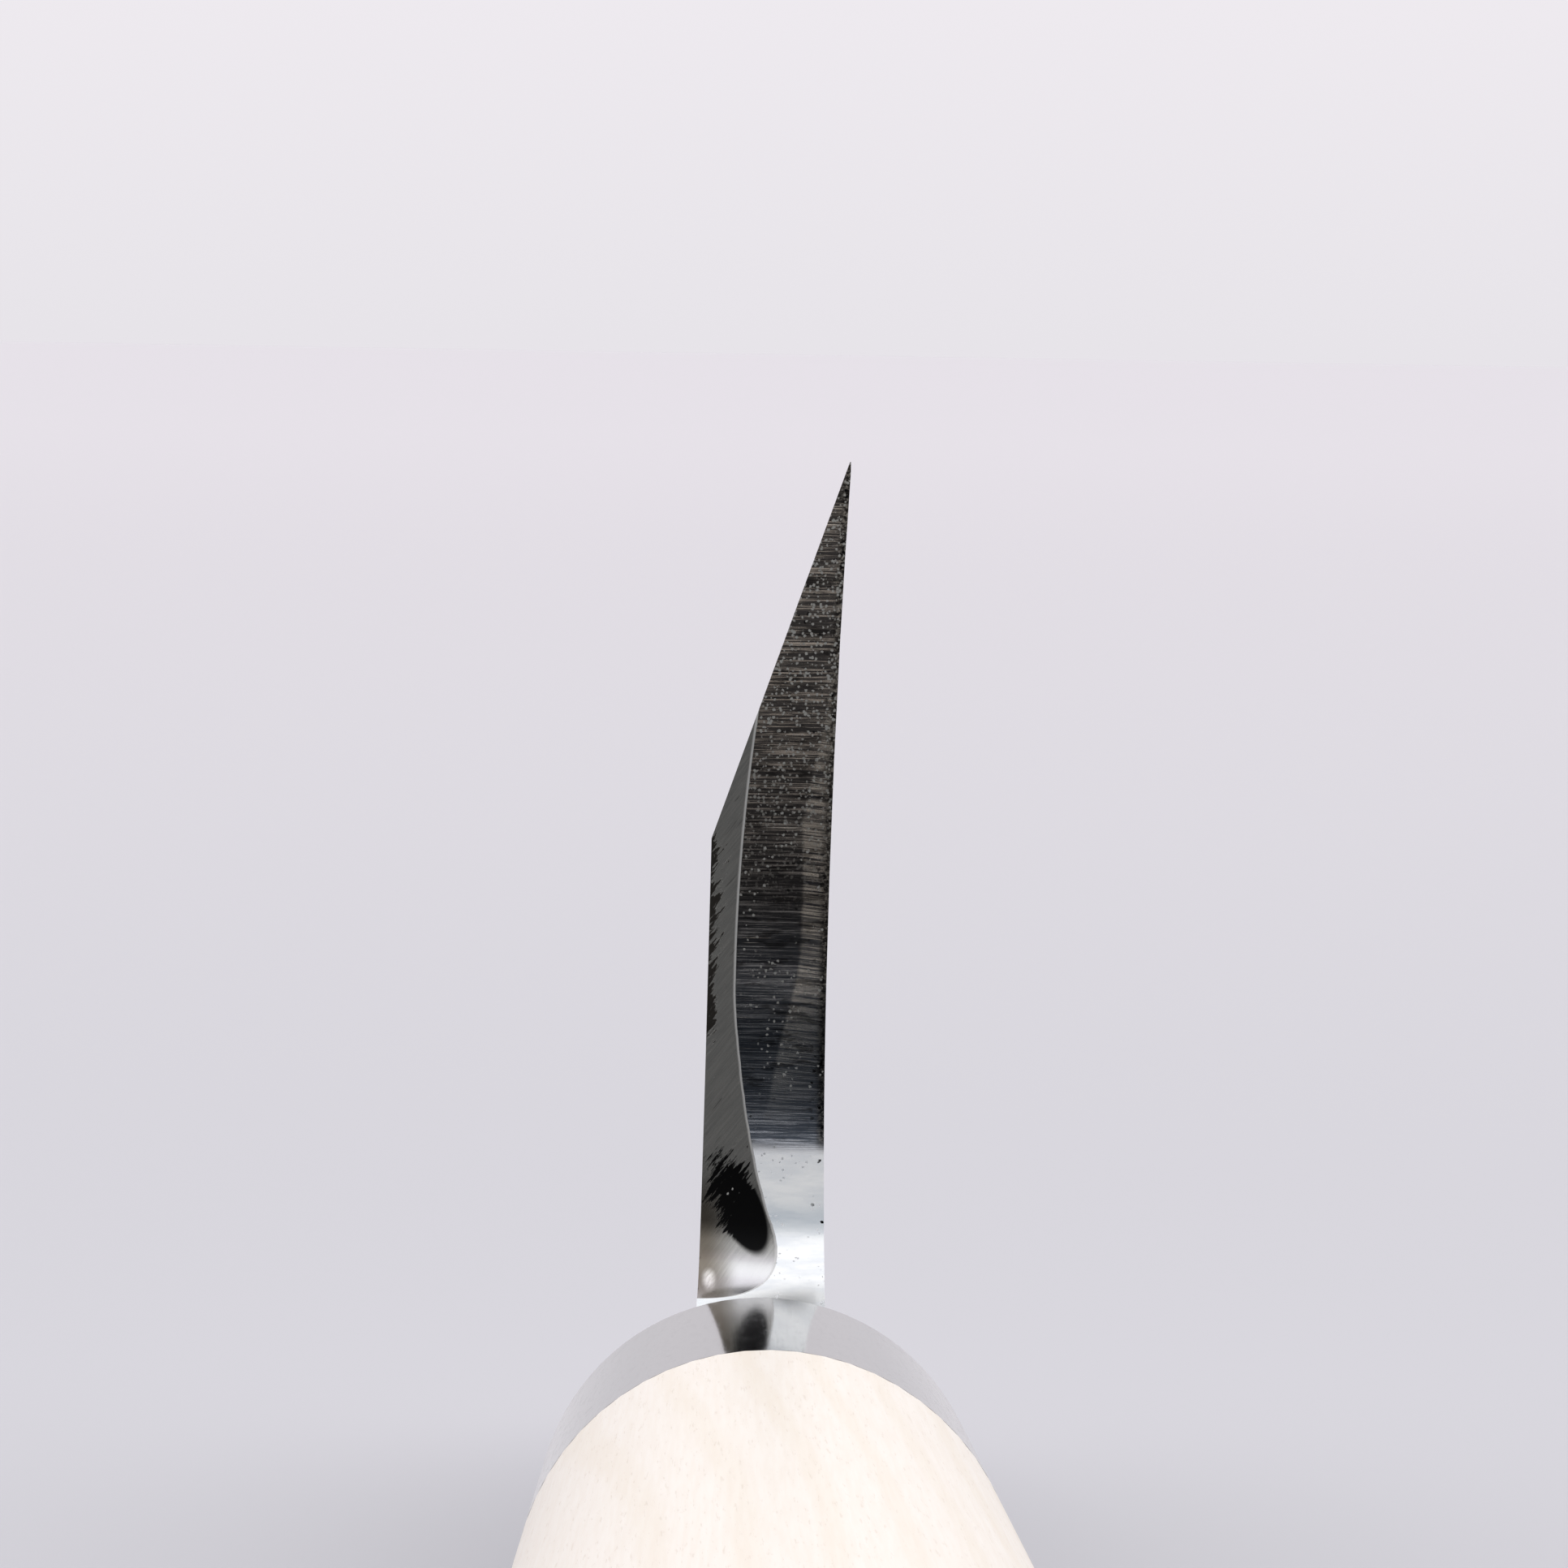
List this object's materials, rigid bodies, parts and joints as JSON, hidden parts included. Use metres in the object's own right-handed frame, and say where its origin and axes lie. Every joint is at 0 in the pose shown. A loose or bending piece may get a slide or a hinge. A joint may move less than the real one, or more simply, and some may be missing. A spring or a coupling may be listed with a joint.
{
  "type": "skiving knife",
  "caption": "Single-bevel skiving knife: a hollow-backed forged blade with a stepped heel, hidden tang, oval tapered wooden handle and black collar.",
  "frame": {"origin": "centre of the handle's flat butt face", "axes": "+Y along the handle towards the blade's tip, +Z towards the cutting edge, +X towards the hollow-ground flat side of the blade"},
  "size_m": [0.0212, 0.2614, 0.0517],
  "materials": {
    "blade_steel": "ground and satin, with a polished rim",
    "collar_black": "polished",
    "handle_wood": "sanded pale magnolia, waxed",
    "bedding_resin": "matt cast resin"
  },
  "bodies": {
    "root": {"blade": "blade_steel", "ferrule": "collar_black", "handle_body": "handle_wood", "tang_bedding": "bedding_resin", "slot_seal": "bedding_resin"}
  },
  "joints": []
}
